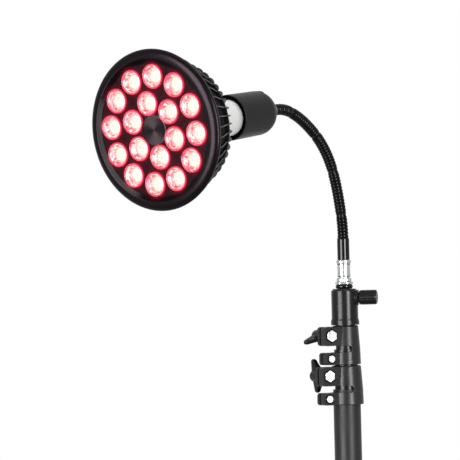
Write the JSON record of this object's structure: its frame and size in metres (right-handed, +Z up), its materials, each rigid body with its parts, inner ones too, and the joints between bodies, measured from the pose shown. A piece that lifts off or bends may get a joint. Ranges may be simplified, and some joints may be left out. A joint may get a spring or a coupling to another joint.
{
  "type": "led therapy lamp",
  "caption": "Light therapy lamp: a round finned LED bulb with glowing lenses, screwed into a holder on a bendable neck over a telescopic clamped mast with a folding tripod.",
  "frame": {"origin": "point on the floor under the mast, where the mast's axis meets the plane of the three feet", "axes": "+Z up along the mast, -Y towards the side the bulb hangs over and shines to, +X to the bulb's right as it is faced from behind"},
  "size_m": [0.63, 0.5485, 0.8221],
  "materials": {
    "black_aluminium": "satin black anodised finish",
    "black_lacquer": "satin black lacquer",
    "lens_acrylic": "clear moulded plastic that glows red",
    "emitter": "lit red",
    "board_white": "white solder mask",
    "board_green": "circuit board with its parts",
    "neck_white": "satin moulded white",
    "cap_plate": "plated screw cap",
    "insulator": "moulded black with a brass contact",
    "holder_shell": "satin dark grey lacquer",
    "socket_white": "glazed white insulator",
    "contact_brass": "bare",
    "rocker_black": "gloss moulded black",
    "hose_black": "gloss black ribbed metal hose",
    "fitting_black": "gloss black",
    "fitting_chrome": "polished",
    "dark_steel": "satin dark grey lacquer",
    "moulded_black": "fine matt moulded black",
    "bolt_zinc": "bright zinc plate",
    "knob_black": "moulded black",
    "foot_rubber": "matt",
    "pin_steel": "plated"
  },
  "bodies": {
    "stand": {"lower_tube": "dark_steel", "tube_plug": "moulded_black", "foot_collar": "moulded_black", "brace_pins": "pin_steel", "lower_clamp": "moulded_black", "lower_bolt": "bolt_zinc", "lower_screw": "bolt_zinc"},
    "brace_1": {"brace_1": "dark_steel"},
    "brace_2": {"brace_2": "dark_steel"},
    "brace_3": {"brace_3": "dark_steel"},
    "leg_1": {"leg_1": "dark_steel", "foot_1": "foot_rubber"},
    "leg_2": {"leg_2": "dark_steel", "foot_2": "foot_rubber"},
    "leg_3": {"leg_3": "dark_steel", "foot_3": "foot_rubber"},
    "leg_collar": {"leg_collar": "moulded_black", "leg_pins": "pin_steel"},
    "collar_knob": {"collar_knob": "knob_black"},
    "lower_wing_knob": {"lower_wing_knob": "knob_black"},
    "middle_mast": {"middle_tube": "dark_steel", "upper_clamp": "moulded_black", "upper_bolt": "bolt_zinc", "upper_screw": "bolt_zinc"},
    "upper_wing_knob": {"upper_wing_knob": "knob_black"},
    "top_mast": {"top_tube": "dark_steel", "adapter": "fitting_black", "cord_gland": "foot_rubber"},
    "adapter_knob": {"adapter_knob": "knob_black"},
    "stem": {"stud_collar": "fitting_black", "stud_flange": "fitting_chrome", "stud_nut": "fitting_chrome", "stud_barrel": "fitting_chrome", "neck_sleeve": "fitting_black", "gooseneck_1": "hose_black"},
    "neck_2": {"gooseneck_2": "hose_black"},
    "neck_3": {"gooseneck_3": "hose_black"},
    "neck_4": {"gooseneck_4": "hose_black"},
    "neck_5": {"gooseneck_5": "hose_black"},
    "neck_6": {"gooseneck_6": "hose_black"},
    "neck_7": {"gooseneck_7": "hose_black"},
    "holder": {"gooseneck_8": "hose_black", "holder_nipple": "holder_shell", "holder_shell": "holder_shell", "socket_core": "socket_white", "thread_sleeve": "contact_brass", "contact_tongue": "contact_brass"},
    "switch_rocker": {"switch_rocker": "rocker_black"},
    "bulb": {"heat_sink": "black_aluminium", "bezel": "black_lacquer", "lens_plate": "black_lacquer", "lenses": "lens_acrylic", "led_chips": "emitter", "led_board": "board_white", "driver_board": "board_green", "bulb_neck": "neck_white", "screw_cap": "cap_plate", "cap_insulator": "insulator"}
  },
  "joints": [
    {"name": "stand_fold", "type": "hinge", "parent": "stand", "child": "brace_1", "pos_m": [0, -0.024, 0.04815], "axis": [-1, 0, 0], "range_deg": [0, 51]},
    {"name": "leg_1_pivot", "type": "hinge", "parent": "brace_1", "child": "leg_1", "pos_m": [0, -0.15916, 0.14279], "axis": [-1, 0, 0], "range_deg": [-102.5, 0.5]},
    {"name": "leg_collar_pivot", "type": "hinge", "parent": "leg_1", "child": "leg_collar", "pos_m": [0, -0.024, 0.23743], "axis": [-1, 0, 0], "range_deg": [-0.5, 51.5]},
    {"name": "brace_2_pivot", "type": "hinge", "parent": "stand", "child": "brace_2", "pos_m": [0.02079, 0.012, 0.04815], "axis": [0.5, -0.866, 0], "range_deg": [-0.5, 51.5]},
    {"name": "leg_2_pivot", "type": "hinge", "parent": "brace_2", "child": "leg_2", "pos_m": [0.13784, 0.07958, 0.14279], "axis": [0.5, -0.866, 0], "range_deg": [-102.5, 0.5]},
    {"name": "brace_3_pivot", "type": "hinge", "parent": "stand", "child": "brace_3", "pos_m": [-0.02079, 0.012, 0.04815], "axis": [0.5, 0.866, 0], "range_deg": [-0.5, 51.5]},
    {"name": "leg_3_pivot", "type": "hinge", "parent": "brace_3", "child": "leg_3", "pos_m": [-0.13784, 0.07958, 0.14279], "axis": [0.5, 0.866, 0], "range_deg": [-102.5, 0.5]},
    {"name": "collar_knob_turn", "type": "hinge", "parent": "leg_collar", "child": "collar_knob", "pos_m": [0, 0.02, 0.23743], "axis": [0, 1, 0], "continuous": true},
    {"name": "lower_wing_knob_turn", "type": "hinge", "parent": "stand", "child": "lower_wing_knob", "pos_m": [-0.01869, -0.01423, 0.56825], "axis": [-0.9272, 0.3746, 0], "continuous": true},
    {"name": "middle_mast_slide", "type": "slide", "parent": "stand", "child": "middle_mast", "axis": [0, 0, 1], "range_m": [0, 0.4]},
    {"name": "upper_wing_knob_turn", "type": "hinge", "parent": "middle_mast", "child": "upper_wing_knob", "pos_m": [-0.01768, -0.01173, 0.60035], "axis": [-0.9272, 0.3746, 0], "continuous": true},
    {"name": "top_mast_slide", "type": "slide", "parent": "middle_mast", "child": "top_mast", "axis": [0, 0, 1], "range_m": [0, 0.4]},
    {"name": "adapter_knob_turn", "type": "hinge", "parent": "top_mast", "child": "adapter_knob", "pos_m": [0.01348, 0.00658, 0.6306], "axis": [0.8988, 0.4384, 0], "continuous": true},
    {"name": "arm_swivel", "type": "hinge", "parent": "top_mast", "child": "stem", "pos_m": [0, 0, 0.6318], "axis": [0, 0, 1], "continuous": true},
    {"name": "neck_nod_1", "type": "hinge", "parent": "stem", "child": "neck_2", "pos_m": [0, -0.00176, 0.69699], "axis": [1, 0, 0], "range_deg": [-22, 16]},
    {"name": "neck_sway_1", "type": "hinge", "parent": "neck_2", "child": "neck_3", "pos_m": [0, -0.0059, 0.71491], "axis": [0, 0.9659, 0.2588], "range_deg": [-18, 18]},
    {"name": "neck_nod_2", "type": "hinge", "parent": "neck_3", "child": "neck_4", "pos_m": [0, -0.01188, 0.7323], "axis": [1, 0, 0], "range_deg": [-22, 16]},
    {"name": "neck_sway_2", "type": "hinge", "parent": "neck_4", "child": "neck_5", "pos_m": [0, -0.0212, 0.7481], "axis": [0, 0.788, 0.6157], "range_deg": [-18, 18]},
    {"name": "neck_nod_3", "type": "hinge", "parent": "neck_5", "child": "neck_6", "pos_m": [0, -0.03417, 0.76108], "axis": [1, 0, 0], "range_deg": [-22, 16]},
    {"name": "neck_sway_3", "type": "hinge", "parent": "neck_6", "child": "neck_7", "pos_m": [0, -0.0495, 0.77123], "axis": [0, 0.4848, 0.8746], "range_deg": [-18, 18]},
    {"name": "neck_nod_4", "type": "hinge", "parent": "neck_7", "child": "holder", "pos_m": [0, -0.06641, 0.7784], "axis": [1, 0, 0], "range_deg": [-22, 16]},
    {"name": "switch_rock", "type": "hinge", "parent": "holder", "child": "switch_rocker", "pos_m": [0, -0.10507, 0.78962], "axis": [-1, 0, 0], "range_deg": [0, 14]},
    {"name": "bulb_turn", "type": "hinge", "parent": "holder", "child": "bulb", "pos_m": [0, -0.12927, 0.77451], "axis": [0, -0.9925, -0.1219], "continuous": true}
  ],
  "couplings": [
    {"joint": "leg_1_pivot", "follows": "stand_fold", "ratio": -2},
    {"joint": "leg_collar_pivot", "follows": "stand_fold", "ratio": 1},
    {"joint": "brace_2_pivot", "follows": "stand_fold", "ratio": 1},
    {"joint": "leg_2_pivot", "follows": "stand_fold", "ratio": -2},
    {"joint": "brace_3_pivot", "follows": "stand_fold", "ratio": 1},
    {"joint": "leg_3_pivot", "follows": "stand_fold", "ratio": -2}
  ]
}
